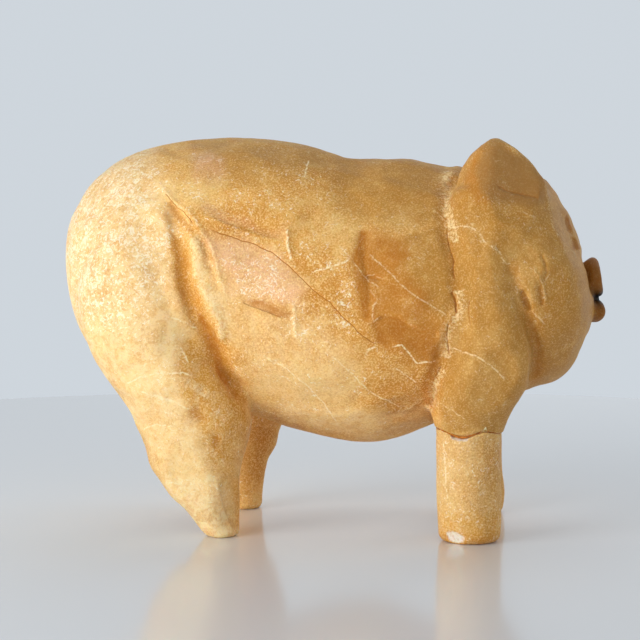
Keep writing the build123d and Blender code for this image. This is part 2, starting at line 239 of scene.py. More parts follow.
PATCHES_PX = {
    "valley": outlined([(172, 234), (181, 241), (188, 250), (190, 262), (192, 275), (196, 290), (202, 298),
        (208, 310), (214, 325), (220, 341), (229, 360), (240, 385), (246, 404), (235, 398), (222, 376),
        (206, 350), (194, 332), (184, 318), (178, 300), (174, 285), (171, 268), (168, 250)], 4.0, 0.15,
        gold=0.9, amber=0.55),
    "valley_floor": outlined([(196, 312), (208, 316), (216, 336), (225, 362), (233, 386), (224, 384),
        (213, 362), (203, 338)], 3.0, 0.1, amber=1.0),
    "hip_top": outlined([(168, 205), (173, 203), (181, 211), (190, 221), (196, 231), (189, 229),
        (180, 219)], 1.5, 0.1, amber=0.75),
    "hip_strip": outlined([(201, 236), (205, 240), (210, 254), (213, 272), (215, 290), (209, 284),
        (206, 266)], 1.5, amber=0.5),
    "hip_band": outlined([(195, 207), (215, 210), (240, 218), (262, 228), (275, 232), (285, 226),
        (286, 236), (283, 242), (265, 237), (245, 230), (225, 222), (205, 215)], 3.0, 0.1, amber=0.35,
        rosy=0.5),
    "pink": outlined([(205, 234), (240, 243), (270, 254), (290, 270), (304, 288), (300, 304), (262, 300),
        (232, 292), (220, 262)], 12.0, rosy=0.85, haze=0.4),
    "pink_back": outlined([(190, 158), (206, 152), (222, 160), (224, 176), (212, 186), (198, 178)], 7.0,
        rosy=0.7, amber=0.25),
    "pale_hip": outlined([(192, 236), (203, 236), (214, 260), (222, 262), (236, 290), (242, 320),
        (244, 350), (230, 345), (219, 318), (204, 290), (196, 262)], 4.0, haze=0.45),
    "knife_lens": outlined([(243, 300), (262, 302), (272, 305), (283, 309), (292, 312), (290, 318),
        (281, 318), (262, 310), (250, 306)], 1.6, 0.1, amber=0.75, rosy=0.4),
    "hollow": outlined([(354, 234), (370, 226), (392, 230), (408, 246), (402, 268), (424, 290), (440, 318),
        (446, 346), (436, 372), (410, 366), (384, 348), (373, 330), (358, 318), (352, 280)], 10.0,
        amber=0.75),
    "hollow_band": outlined([(356, 229), (364, 228), (368, 245), (368, 272), (371, 290), (371, 318),
        (362, 322), (358, 300), (355, 270), (353, 245)], 3.0, 0.2, amber=1.0),
    "hollow_upper": outlined([(368, 236), (386, 231), (404, 240), (410, 256), (394, 266), (380, 262)], 10.0,
        0.2, amber=0.95),
    "hollow_lower": outlined([(373, 323), (382, 317), (394, 318), (408, 325), (420, 330), (437, 332),
        (441, 345), (437, 360), (420, 363), (410, 353), (402, 346), (385, 346), (374, 341)], 2.4, 0.35,
        amber=1.0),
    "lens": outlined([(367, 277), (375, 276), (385, 280), (378, 283), (370, 281)], 1.0, 0.2, amber=0.8),
    # Painted shade beside and behind the neck, which turn from the key lamp
    "neck_side": outlined([(398, 235), (445, 226), (452, 260), (455, 300), (440, 314), (412, 296),
        (395, 268)], 8.0, deep=0.9),
    "behind_neck": outlined([(330, 150), (450, 156), (446, 226), (400, 232), (350, 222), (330, 200)], 14.0,
        deep=0.8),
    "belly_front": outlined([(396, 364), (436, 362), (428, 400), (426, 424), (390, 432), (374, 410)], 8.0,
        amber=0.3),
    # Painted shade on the head and shoulder, which turn from the key lamp, and on the back, where little
    # light falls from above
    "head": outlined([(447, 160), (490, 132), (545, 172), (610, 255), (610, 330), (580, 380), (535, 392),
        (500, 437), (437, 434), (442, 372), (452, 320), (456, 290), (447, 225)], 5.0, deep=0.85),
    "shoulder": outlined([(452, 205), (508, 208), (514, 262), (522, 300), (532, 360), (526, 392),
        (500, 437), (437, 434), (448, 330), (456, 290)], 8.0, deep=0.95),
    "back": outlined([(186, 132), (330, 140), (332, 172), (250, 180), (196, 172)], 14.0, deep=0.75),
    # Painted bounce light from the floor, as pale haze along the belly's lower rim
    "belly_bounce_light": outlined([(250, 405), (300, 422), (370, 438), (426, 424), (426, 404), (370, 414),
        (300, 398)], 6.0, haze=0.5),
    "ear_flat": outlined([(491, 139), (521, 153), (545, 177), (546, 203), (530, 210), (510, 204),
        (490, 199), (478, 190), (477, 172), (481, 155)], 5.0, 0.15, shade=0.65),
    "ear_rim": outlined([(489, 140), (481, 155), (477, 172), (479, 190), (490, 200), (478, 206), (467, 192),
        (466, 172), (474, 156)], 3.5, amber=0.6),
    # Painted reflection of the pale surround at a grazing angle along the face's edge, greyish mauve from
    # the rosy and shade marks
    "face_edge": outlined([(545, 180), (552, 186), (561, 200), (567, 217), (567, 236), (579, 252),
        (586, 275), (592, 300), (590, 322), (582, 300), (578, 275), (572, 258), (562, 243), (552, 226),
        (548, 205)], 3.0, rosy=0.25, shade=0.3),
    # Painted shade in the eye slits and the cheek pits
    "eye_upper": outlined([(563, 222), (568, 217), (573, 226), (570, 234), (566, 232)], 1.5, 0.4,
        umber=0.35, amber=0.8),
    "eye_lower": outlined([(570, 238), (575, 239), (580, 251), (573, 249)], 1.2, 0.45, umber=0.45,
        amber=0.8),
    "cheek_pit": outlined([(519, 290), (524, 288), (530, 298), (533, 308), (530, 311), (525, 306),
        (521, 298)], 1.2, 0.7, umber=0.55, amber=0.6),
    "cheek_dent": outlined([(538, 286), (542, 285), (545, 298), (543, 304), (539, 300)], 1.2, 0.3,
        umber=0.3, amber=0.5),
    "thigh_pit_a": outlined([(189, 406), (199, 402), (206, 414), (198, 421), (188, 418)], 4.0, 0.4,
        amber=0.75),
    "thigh_pit_b": outlined([(213, 432), (221, 434), (222, 448), (215, 450)], 3.0, 0.4, amber=0.75),
    "thigh_amber": outlined([(184, 326), (206, 352), (226, 384), (240, 412), (236, 462), (212, 470),
        (202, 436), (190, 410), (176, 372)], 8.0, gold=0.95, amber=0.2),
    "thigh": outlined([(118, 330), (160, 322), (190, 345), (222, 392), (240, 440), (236, 470), (160, 480),
        (138, 420)], 14.0, streak=1.0, haze=0.66),
    "shank": outlined([(160, 470), (222, 474), (234, 510), (240, 545), (190, 545)], 8.0, haze=1.0),
    "shank_front": outlined([(200, 456), (236, 456), (239, 500), (238, 530), (231, 532), (224, 508),
        (218, 480)], 3.0, gold=0.5),
    "rump_haze": outlined([(40, 120), (150, 130), (166, 190), (178, 232), (172, 270), (184, 320),
        (196, 350), (180, 400), (130, 440), (40, 420)], 16.0, haze=0.72),
    "rump_wear": outlined([(40, 120), (150, 140), (160, 190), (172, 232), (160, 290), (120, 330),
        (40, 320)], 24.0, wear=0.85),
    "flank_wear": outlined([(220, 255), (262, 262), (298, 288), (290, 304), (240, 298)], 10.0, wear=0.75),
    "ridge_wear": outlined([(334, 262), (352, 258), (356, 300), (350, 330), (334, 318)], 8.0, wear=0.6),
    "crack_wear": outlined([(296, 290), (330, 318), (350, 345), (310, 350), (290, 322)], 14.0, wear=0.35),
    "back_wear": outlined([(180, 130), (320, 140), (330, 200), (240, 210), (190, 190)], 16.0, wear=0.35),
    "belly_pale": outlined([(236, 300), (300, 306), (350, 350), (356, 400), (290, 412), (250, 392)], 16.0,
        haze=0.4),
}

# Places of the outline that stand out further than the solid: reach in pixels and height
SWELLS_PX = {
    "forehead": ((555, 190), 13.0, 1.05),
    "ear_root": ((545, 181), 8.0, 1.5),
    "saddle": ((393, 161), 24.0, 0.8),
    "heel": ((172, 500), 17.0, 0.7),
    "hock": ((146, 450), 13.0, -0.8),
    "far_thigh": ((275, 444), 10.0, 1.0),
    "far_foreleg": ((501, 492), 17.0, 0.9),
    "far_toe": ((501, 522), 12.0, 0.6),
    "bridge": ((585, 260), 8.0, -0.7),
    "jowl": ((586, 348), 18.0, -0.5),
    "chin": ((540, 389), 12.0, -0.6),
    "belly": ((378, 438), 26.0, 0.3),
    "brow": ((567, 213), 7.0, 0.6),
    "nape": ((470, 156), 9.0, 0.6),
    "neck": ((458, 165), 6.0, 0.8),
    "ear_back": ((479, 148), 9.0, 0.5),
}

EAR_NOTCH_PX = (547, 184)
TEMPLE_PX = (536, 222)
EAR_FOOT_PX = (548, 190)
EYE_PX = (572, 238)
# The break is open between these places across the photograph: start and full width, at either end
OPENING_BACK_PX = (447, 455)
OPENING_FRONT_PX = (487, 480)
TOE_CHIP_PX = (455, 535)
LIP_CHIP_PX = (459, 439)
GLUE_BEAD_PX = (484.5, 433.0)

# Hollows and swellings: middle in the photograph, half sizes across and up, and depth
SPOTS_PX = {
    "eye_socket": ((567, 228), 2.4, 4.2, 0.4),
    "belly_dent": ((394, 416), 2.4, 1.2, 0.5),
    "thigh_dome": ((160, 330), 12.0, 16.0, -0.5),
    "thigh_hollow": ((214, 452), 5.0, 6.0, 0.4),
}

# Flats cut with the knife: place, turn to the right and up, depth, radius and deepest cut
FACETS_PX = {
    "ear_plane": ((512, 172), 0.16, -0.05, 1.9, 16.0, 3.0),
    "ear_back_plane": ((470, 166), -0.35, 0.05, 0.4, 8.0, 1.0),
    "face_plane": ((566, 232), 0.45, 0.0, 0.5, 10.0, 1.5),
    "shoulder_plane": ((484, 310), 0.10, 0.0, 0.8, 16.0, 1.3),
    "upper_arm_plane": ((480, 240), 0.05, 0.05, 0.6, 12.0, 1.0),
    "lower_arm_plane": ((480, 385), 0.12, -0.05, 0.7, 12.0, 1.2),
    "shank_plane": ((230, 500), 0.3, 0.0, 0.6, 8.0, 1.2),
    "heel_plane": ((196, 470), -0.25, -0.1, 0.5, 9.0, 1.0),
    "cheek_plane": ((560, 300), 0.1, 0.1, 0.4, 9.0, 0.8),
    "hip_plane": ((246, 232), 0.02, -0.08, 0.45, 10.0, 0.9),
    "flank_plane": ((330, 245), -0.05, 0.1, 0.4, 12.0, 0.8),
    "rump_plane": ((132, 250), -0.08, 0.05, 0.35, 12.0, 0.7),
    "back_plane": ((250, 185), 0.0, 0.2, 0.35, 13.0, 0.7),
    "belly_plane": ((330, 385), 0.05, -0.15, 0.4, 12.0, 0.8),
}


def place_px(points):
    """Where points show in the photograph."""
    offset = points - CAMERA_PLACE
    depth = -offset @ CAMERA_BACK
    across = IMAGE_PX / 2 + FOCAL_PX * (offset @ CAMERA_RIGHT) / depth
    down = IMAGE_PX / 2 - FOCAL_PX * (offset @ CAMERA_UP) / depth
    return np.column_stack((across, down))


def ray_px(across, down):
    """Direction from the photograph's camera through a pixel."""
    ray = (
        (across - IMAGE_PX / 2) / FOCAL_PX * CAMERA_RIGHT
        - (down - IMAGE_PX / 2) / FOCAL_PX * CAMERA_UP
        - CAMERA_BACK
    )
    return Vector(ray).normalized()


def smooth_step(low, high, value):
    """0 below low, 1 above high, and a smooth rise between."""
    share = np.clip((value - low) / (high - low), 0.0, 1.0)
    return share * share * (3 - 2 * share)


def grain(points, size, seed):
    """Smooth random field from -1 to 1, with features of the given size."""
    random = np.random.default_rng(seed)
    lattice = random.uniform(-1, 1, (64, 64, 64))
    spot = points / size + 1000.0
    cell = np.floor(spot).astype(int)
    share = spot - cell
    share = share * share * (3 - 2 * share)
    total = np.zeros(len(points))
    for corner in np.ndindex(2, 2, 2):
        weight = np.ones(len(points))
        for axis, step in enumerate(corner):
            weight *= share[:, axis] if step else 1 - share[:, axis]
        at = (cell + np.array(corner)) % 64
        total += weight * lattice[at[:, 0], at[:, 1], at[:, 2]]
    return total


def depth_inside(outline, places):
    """How far places in the photograph lie inside an outline, negative outside it."""
    inside = np.zeros(len(places), dtype=bool)
    nearest = np.full(len(places), np.inf)
    for start, end in zip(outline, outline[1:] + outline[:1]):
        start, end = np.array(start, dtype=float), np.array(end, dtype=float)
        run = end - start
        offset = places - start
        share = np.clip(offset @ run / (run @ run), 0, 1)
        nearest = np.minimum(nearest, np.linalg.norm(offset - share[:, None] * run, axis=1))
        crosses = (places[:, 1] < start[1]) != (places[:, 1] < end[1])
        if run[1]:
            inside ^= crosses & (offset[:, 0] < offset[:, 1] * run[0] / run[1])
    return np.where(inside, nearest, -nearest)


def even_grid(node, name, size):
    """A new piece with the node's form, in even faces of about the given size."""
    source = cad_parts[node]
    piece = bpy.data.objects.new(name, source.data.copy())
    bpy.context.scene.collection.objects.link(piece)
    piece.data.materials.clear()
    grid = piece.modifiers.new("even_grid", "REMESH")
    grid.mode = "VOXEL"
    grid.voxel_size = size * MM
    grid.use_smooth_shade = True
    ready = piece.evaluated_get(bpy.context.evaluated_depsgraph_get())
    mesh = bpy.data.meshes.new_from_object(ready)
    piece.modifiers.clear()
    piece.data = mesh
    mesh.name = name
    return piece


class Skin:
    """A piece's surface as arrays, in millimetres, for carving and colouring."""

    def __init__(self, piece, node):
        self.piece = piece
        self.solid = self.tree_of(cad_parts[node].data)
        self.read()

    def tree_of(self, mesh):
        """Search tree over a mesh, in millimetres."""
        places = [vertex.co / MM for vertex in mesh.vertices]
        return BVHTree.FromPolygons(places, [face.vertices[:] for face in mesh.polygons])

    def read(self):
        """Takes the arrays from the mesh, after its faces have changed."""
        mesh = self.piece.data
        places = np.empty(len(mesh.vertices) * 3)
        mesh.vertices.foreach_get("co", places)
        self.co = places.reshape(-1, 3) / MM
        edges = np.empty(len(mesh.edges) * 2, dtype=int)
        mesh.edges.foreach_get("vertices", edges)
        self.edges = edges.reshape(-1, 2)
        self.refresh()

    def refresh(self):
        """Writes the vertices to the mesh, and takes new normals from it."""
        mesh = self.piece.data
        mesh.vertices.foreach_set("co", (self.co * MM).ravel())
        mesh.update()
        normals = np.empty(len(mesh.vertices) * 3)
        mesh.vertex_normals.foreach_get("vector", normals)
        self.normal = normals.reshape(-1, 3)
        self.tree = None
        self.tracks = {}
        self.sights = None

    def settle(self, weight=1.0):
        """Draws the vertices onto the solid that the piece stands for."""
        near = np.array([self.solid.find_nearest(Vector(place))[0] for place in self.co])
        self.co += (near - self.co) * np.broadcast_to(weight, len(self.co))[:, None]
        self.refresh()

    def mean_of_neighbours(self):
        """Middle of each vertex's neighbours."""
        first, second = self.edges.T
        count = np.bincount(self.edges.ravel(), minlength=len(self.co))
        total = np.empty_like(self.co)
        for axis in range(3):
            total[:, axis] = np.bincount(first, self.co[second, axis], len(self.co))
            total[:, axis] += np.bincount(second, self.co[first, axis], len(self.co))
        return total / np.maximum(count, 1)[:, None]

    def relax(self, rounds, weight=1.0, strength=0.5, back=0.52):
        """Smooths the surface, with a step back after each step so that it keeps its size."""
        weight = np.broadcast_to(weight, len(self.co))[:, None]
        for _ in range(rounds):
            for share in (strength, -back):
                if share:
                    self.co += share * weight * (self.mean_of_neighbours() - self.co)
        self.refresh()

    def fill(self, rounds, weight):
        """Fills hollows and leaves what stands proud."""
        for _ in range(rounds):
            rise = np.einsum("ij,ij->i", self.mean_of_neighbours() - self.co, self.normal)
            self.co += self.normal * (np.clip(rise, 0, None) * weight)[:, None]
        self.refresh()

    def push(self, amount):
        """Moves each vertex along its normal."""
        self.co += self.normal * amount[:, None]

    def refine(self, near):
        """Splits the faces where near is true into four."""
        mesh = bmesh.new()
        mesh.from_mesh(self.piece.data)
        mesh.verts.ensure_lookup_table()
        edges = [edge for edge in mesh.edges if near[edge.verts[0].index] and near[edge.verts[1].index]]
        bmesh.ops.subdivide_edges(mesh, edges=edges, cuts=1, use_grid_fill=True)
        mesh.to_mesh(self.piece.data)
        mesh.free()
        self.read()

    def trace(self, pixels, far=False, wobble=0.0, jitter=0.0):
        """Points on the skin under a line that is drawn on the photograph."""
        if self.tree is None:
            self.tree = BVHTree.FromPolygons(
                [Vector(place) for place in self.co],
                [face.vertices[:] for face in self.piece.data.polygons],
            )
        spots = [pixels[0]]
        for start, end in zip(pixels[:-1], pixels[1:]):
            steps = max(1, round(math.dist(start, end) / TRACE_STEP_PX))
            for step in range(1, steps + 1):
                share = step / steps
                spots.append((
                    start[0] + (end[0] - start[0]) * share,
                    start[1] + (end[1] - start[1]) * share,
                ))
        random = np.random.default_rng(SEED + round(pixels[0][0] + 7 * pixels[-1][1]))
        spots = [(across + shift[0], down + shift[1]) for (across, down), shift in
                 zip(spots, random.normal(0, 1, (len(spots), 2)) * jitter)]
        if far:
            spots = [
                (
                    across + wobble * math.sin(down / FAR_WAVE_PX + across / FAR_WAVE_PX),
                    down + wobble * math.sin(across / FAR_WAVE_PX + 2.0),
                )
                for across, down in spots
            ]
        hits = [self.tree.ray_cast(Vector(CAMERA_PLACE), ray_px(*spot))[0] for spot in spots]
        points = [hit for hit in hits if hit is not None]
        if far:
            points = [self.tree.find_nearest(Vector((hit.x, -hit.y, hit.z)))[0] for hit in points]
        return np.array(points)

    def under(self, pixel):
        """Point on the skin under a pixel of the photograph, or the nearest to it that shows."""
        hits = self.trace([pixel, pixel])
        if len(hits):
            return hits[0]
        off = np.linalg.norm(place_px(self.co) - pixel, axis=1)
        return self.co[np.argmin(np.where(self.normal @ CAMERA_BACK > 0, off, np.inf))]

    def beside(self, points):
        """Distance of each vertex from a traced line, the side it is on, and how far along."""
        distance = np.full(len(self.co), 9 * LINE_REACH)
        side = np.zeros(len(self.co))
        along = np.zeros(len(self.co))
        low, high = points.min(0) - LINE_REACH, points.max(0) + LINE_REACH
        close = np.flatnonzero(np.all((self.co > low) & (self.co < high), axis=1))
        spots = self.co[close]
        best = np.full(len(close), np.inf)
        best_side = np.zeros(len(close))
        best_along = np.zeros(len(close))
        lengths = np.linalg.norm(np.diff(points, axis=0), axis=1)
        before = np.concatenate(((0.0,), np.cumsum(lengths)))
        for number, (start, end) in enumerate(zip(points[:-1], points[1:])):
            if lengths[number] == 0:
                continue
            run = (end - start) / lengths[number]
            share = np.clip((spots - start) @ run, 0, lengths[number])
            off = spots - start - share[:, None] * run
            reach = np.linalg.norm(off, axis=1)
            nearer = reach < best
            best[nearer] = reach[nearer]
            best_side[nearer] = (off @ np.cross(CAMERA_BACK, run))[nearer]
            best_along[nearer] = before[number] + share[nearer]
        distance[close] = best
        side[close] = np.sign(best_side)
        along[close] = best_along / before[-1]
        return distance, side, along

    def line(self, name):
        """Tracks of a named line: on the photographed side, and on the far side if it has one."""
        if name not in self.tracks:
            pixels = LINES_PX[name].pixels
            jitter = CRACK_JITTER_PX if name in CRACKS else VEIN_JITTER_PX if name in VEINS else 0.0
            self.tracks[name] = [self.beside(self.trace(pixels, jitter=jitter))]
            if LINES_PX[name].far:
                wobble = 0.0 if LINES_PX[name].far == ALIKE else FAR_WOBBLE_PX
                self.tracks[name].append(self.beside(self.trace(pixels, True, wobble, jitter)))
        return self.tracks[name]

    def nearness(self, name):
        """Distance of each vertex from the nearer track of a named line."""
        return np.minimum.reduce([track[0] for track in self.line(name)])

    def spot(self, centre_px, across, up, far=True):
        """Soft round weight about a place in the photograph, and about its mirror image."""
        total = np.zeros(len(self.co))
        middle = self.under(centre_px)
        for sign in (1, -1) if far else (1,):
            offset = (self.co * (1, sign, 1)) - middle
            total += np.exp(
                -((offset @ CAMERA_RIGHT) / across) ** 2
                - ((offset @ CAMERA_UP) / up) ** 2
                - ((offset @ CAMERA_BACK) / max(across, up)) ** 2
            )
        return total

    def patch(self, outline, soft):
        """1 inside a patch that is outlined on the photograph, and inside its mirror image."""
        if self.sights is None:
            near = np.column_stack((grain(self.co, 5.0, 31), grain(self.co, 5.0, 32)))
            wide = np.column_stack((grain(self.co, 26.0, 33), grain(self.co, 26.0, 34)))
            self.sights = []
            for mirror, drift, faint in (((1, 1, 1), 0.0, 1.0), (MIRROR, FAR_DRIFT_PX, FAR_FAINT)):
                shows = smooth_step(-0.4, -0.15, (self.normal * mirror) @ CAMERA_BACK)
                places = place_px(self.co * mirror) + EDGE_DRIFT_PX * near + drift * wide
                self.sights.append((places, shows, faint))
        total = np.zeros(len(self.co))
        for places, shows, faint in self.sights:
            held = 1.0 if soft > FAINT_SOFT_PX else faint
            inside = smooth_step(-soft, soft, depth_inside(outline, places))
            total = np.maximum(total, held * shows * inside)
        return total

    def colour(self, name, amount):
        """Keeps a number for each vertex, for the material to read."""
        layer = self.piece.data.attributes.new(name, "FLOAT", "POINT")
        layer.data.foreach_set("value", np.clip(amount, -1, 1).astype(np.float32))


def tapered(along, share=0.1):
    """1 along a line, falling to 0 at its ends."""
    return smooth_step(0, share, np.minimum(along, 1 - along))


# The carved block

PLANE_COUNT = 210
PLANE_RADIUS = (5.0, 14.0)
PLANE_DEPTH = (0.12, 0.38)
PLANE_TILT = 0.09
PLANE_LIMIT = 0.55


def cut_flat(skin, free, middle, facing, depth, radius, deepest):
    """Cuts a flat into the skin, at a depth below a point on it, and says how much came off."""
    offset = skin.co - middle
    near = smooth_step(radius, 0.75 * radius, np.linalg.norm(offset, axis=1))
    near = near * smooth_step(0.3, 0.6, skin.normal @ facing)
    height = near * free * np.clip(offset @ facing + depth, 0, deepest)
    skin.co -= facing * height[:, None]
    return height


def turned(skin, middle, right, up):
    """The skin's facing at a point, turned to the right and up as seen in the photograph."""
    facing = skin.normal[np.argmin(np.linalg.norm(skin.co - middle, axis=1))]
    facing = facing + right * CAMERA_RIGHT + up * CAMERA_UP
    return facing / np.linalg.norm(facing)


def knife_planes(skin, free, random):
    """Flats that a knife leaves all over the form, and then those that the photograph shows."""
    before = skin.co.copy()
    for pick in random.choice(np.flatnonzero(free > 0.9), PLANE_COUNT, replace=False):
        facing = skin.normal[pick] + random.normal(0, PLANE_TILT, 3)
        facing /= np.linalg.norm(facing)
        radius = random.uniform(*PLANE_RADIUS)
        depth = random.uniform(*PLANE_DEPTH)
        cut_flat(skin, free, skin.co[pick], facing, depth, radius, 2 * depth)
    moved = skin.co - before
    size = np.linalg.norm(moved, axis=1)[:, None]
    skin.co = before + moved * np.minimum(1, PLANE_LIMIT / np.maximum(size, 1e-9))
    skin.refresh()
    for pixel, right, up, depth, radius, deepest in FACETS_PX.values():
        middle = skin.under(pixel)
        facing = turned(skin, middle, right, up)
        mirrored = np.array(skin.tree.find_nearest(Vector(middle * MIRROR))[0])
        cut_flat(skin, free, middle, facing, depth, radius, deepest)
        cut_flat(skin, free, mirrored, facing * MIRROR, depth, radius, deepest)
    skin.refresh()


# Lips of the break: how far they shift up, and how much further where the break stands open
BODY_LIP = (-0.16, 0.6)
LEG_LIP = (0.16, -0.32)
# The snout: where it starts and is itself along the figure, its radius, and the height of its middle
SNOUT_START = (64.0, 66.0)
SNOUT_RADIUS = (13.0, 11.0)
SNOUT_HEIGHT = 66.0
THREAD_REACH = 4.0
MOUTH_HEIGHT = 64.5
NOSE_LEAN = 0.16
NOSE_THINNING = 0.33
FACE_PX = 560
LIP_BULGE = 0.8
LIP_ROUNDING = 0.13
NOSTRIL_OFFSET = 3.5
NOSTRIL_REACH = 1.3

# Nose disc and lower lip: height of the middle, half the width and half the height
NOSE_DISC = (69.7, 8.5, 5.45)
LOWER_LIP = (60.5, 6.5, 3.3)
# Painted shade along grooves, laid on as darker amber: half width and strength
GROOVE_SHADE = {"neck_groove": (1.3, 0.25), "cheek_crease": (1.2, 0.4), "shank_edge": (1.5, 0.15)}
# Painted shadow in the mouth: its middle, and how far it fades out along each axis
MOUTH_PLACE = np.array((76.0, 0.0, 64.4))
MOUTH_SIZE = np.array((6.0, 9.0, 2.1))
MARKS = ("gold", "amber", "umber", "shade", "deep", "rosy", "wear", "haze", "streak", "crumb",
         "hole_shadow", "bruise", "vein_side", "vein", "crack_side", "crack")


def break_nearness(skin):
    """Distance along the leg from the break, for the right foreleg only."""
    offset = skin.co - BREAK_CENTRE
    in_leg = np.hypot(offset[:, 0], offset[:, 1]) < 1.5 * LEG_RADIUS
    return np.where(in_leg, np.abs(offset[:, 2]), np.inf)


def break_opening(skin):
    """1 where the break stands open towards the viewer, and 0 where its lips meet."""
    across = place_px(skin.co)[:, 0]
    shows = smooth_step(-0.1, 0.3, skin.normal @ CAMERA_BACK)
    return shows * smooth_step(*OPENING_BACK_PX, across) * smooth_step(*OPENING_FRONT_PX, across)


def open_break(skin, shift, opening):
    """Makes the lip at the break uneven, shifts it, and opens it towards the viewer."""
    rim = smooth_step(1.4, 0.3, break_nearness(skin))
    uneven = 0.12 * grain(skin.co, 1.8, 8)
    skin.co[:, 2] += rim * (uneven + shift + opening * break_opening(skin))
    skin.co[:, 2] = np.maximum(skin.co[:, 2], 0)


def snout_zone(skin):
    """1 on the nose disc and the lip, which keep the solid's form."""
    ahead = smooth_step(*SNOUT_START, skin.co[:, 0])
    inside = smooth_step(*SNOUT_RADIUS, np.hypot(skin.co[:, 1], skin.co[:, 2] - SNOUT_HEIGHT))
    return ahead * inside


def carve_body():
    """The carved block: form, grooves, cracks and colour marks."""
    random = np.random.default_rng(SEED)
    piece = even_grid("carved_block", "stone_body", BODY_GRID)
    skin = Skin(piece, "carved_block")
    skin.settle()
    free = smooth_step(2.5, 6, break_nearness(skin)) * smooth_step(1.0, 4.0, skin.co[:, 2])
    free = free * (1 - snout_zone(skin))
    skin.relax(14, free)
    temple = skin.spot(TEMPLE_PX, 9.0, 9.0) + skin.spot(EAR_FOOT_PX, 8.0, 8.0)
    skin.fill(160, np.clip(1.5 * temple, 0, 1) * free)
    skin.relax(20, np.clip(1.3 * temple, 0, 1) * free, 0.5, 0)
    for pixel, reach, height in SWELLS_PX.values():
        off = np.linalg.norm(place_px(skin.co) - pixel, axis=1)
        skin.push(height * np.exp(-(off / reach) ** 2))
    skin.refresh()
    notch = np.linalg.norm(place_px(skin.co) - EAR_NOTCH_PX, axis=1)
    skin.fill(200, np.exp(-(notch / 11) ** 2))
    skin.relax(10, np.exp(-(notch / 11) ** 2), 0.5, 0)
    knife_planes(skin, free, random)
    skin.relax(2, free, 0.5, 0)

    lines = [*GROOVES, *SCOOPS, *CRACKS, *VEINS, *CRUMBS]
    wide = np.minimum.reduce([skin.nearness(name) for name in lines])
    eye = skin.spot(EYE_PX, 5, 6) > 0.3
    skin.refine((wide < 1.5) | (break_nearness(skin) < 3.0) | (snout_zone(skin) > 0) | eye)
    skin.relax(2, smooth_step(2.5, 4, break_nearness(skin)) * (1 - snout_zone(skin)))
    thin = np.minimum.reduce([skin.nearness(name) for name in [*SCOOPS, *CRACKS]])
    skin.refine((thin < 0.55) | (break_nearness(skin) < 1.4))
    skin.relax(2, smooth_step(2.5, 4, break_nearness(skin)) * (1 - snout_zone(skin)))
    skin.settle(np.maximum(1 - smooth_step(2.5, 5, break_nearness(skin)), snout_zone(skin)))

    free = smooth_step(1.5, 4, break_nearness(skin)) * smooth_step(0.3, 2.0, skin.co[:, 2])
    amount = np.zeros(len(skin.co))
    for name, (depth, width) in GROOVES.items():
        for distance, side, along in skin.line(name):
            amount -= depth * np.exp(-(distance / width) ** 2) * tapered(along)
    for name, (depth, reach, edge, way) in SCOOPS.items():
        for distance, side, along in skin.line(name):
            inside = smooth_step(-edge, edge, way * side * distance)
            amount -= depth * inside * np.exp(-(distance / reach) ** 2) * np.sin(np.pi * along) ** 0.7
    for centre_px, across, up, depth in SPOTS_PX.values():
        amount -= depth * skin.spot(centre_px, across, up)
    for outline, soft, depth, _ in PATCHES_PX.values():
        if depth:
            amount -= depth * skin.patch(outline, soft) * off_middle(skin, outline)
    crumbs = marks(skin, CRUMBS)
    amount += crumbs * (0.34 * grain(skin.co, 1.3, 5) + 0.26 * grain(skin.co, 2.6, 6))
    amount += 0.18 * grain(skin.co, 13.0, 1) + 0.11 * grain(skin.co, 5.0, 2) + 0.05 * grain(skin.co, 1.9, 3)
    skin.push(amount * free)
    skin.refresh()
    skin.relax(1, free)

    cracks = np.zeros(len(skin.co))
    ragged = 1 + 0.3 * grain(skin.co, 1.5, 7)
    for name, (depth, width, _, _) in CRACKS.items():
        for distance, side, along in skin.line(name):
            opened = np.clip(1 - distance / (width * ragged), 0, 1)
            cracks = np.maximum(cracks, depth * opened * tapered(along))
    skin.push(-cracks * free)
    open_break(skin, *BODY_LIP)
    shape_snout(skin)
    skin.refresh()
    colour_body(skin)
    return piece


def off_middle(skin, outline):
    """Keeps a patch that lies on the face from running across its middle."""
    if min(x for x, _ in outline) < FACE_PX:
        return 1.0
    return smooth_step(4.0, 8.0, np.abs(skin.co[:, 1]))


def disc_nearness(skin, disc):
    """How far out from the middle of a disc of the snout, 1 at its edge."""
    height, half_width, half_height = disc
    return np.hypot(skin.co[:, 1] / half_width, (skin.co[:, 2] - height) / half_height)


def shape_snout(skin):
    """Leans the nose back, thins it behind its rim, and rounds the lip."""
    lean = np.clip(skin.co[:, 2] - MOUTH_HEIGHT, 0, None) * snout_zone(skin)
    skin.co[:, 0] -= NOSE_LEAN * lean
    ahead, height = skin.co[:, 0].copy(), skin.co[:, 2].copy()
    near_nose = smooth_step(1.35, 1.05, disc_nearness(skin, NOSE_DISC))
    neck = NOSE_THINNING * near_nose * smooth_step(72.0, 68.5, ahead) * smooth_step(66.0, 70.0, height)
    near_lip = smooth_step(1.3, 1.0, disc_nearness(skin, LOWER_LIP)) * smooth_step(70.5, 72.5, ahead)
    skin.co[:, 0] += near_lip * (LIP_BULGE - LIP_ROUNDING * (height - LOWER_LIP[0]) ** 2)
    skin.co[:, 1] *= 1 - neck
    skin.co[:, 2] -= neck * (height - NOSE_DISC[0])


def marks(skin, table):
    """Strongest of a set of lines at each vertex, fading out to the side."""
    total = np.zeros(len(skin.co))
    for name, (width, strength) in table.items():
        for distance, side, along in skin.line(name):
            total = np.maximum(total, strength * np.exp(-(distance / width) ** 2) * tapered(along, 0.05))
    return total


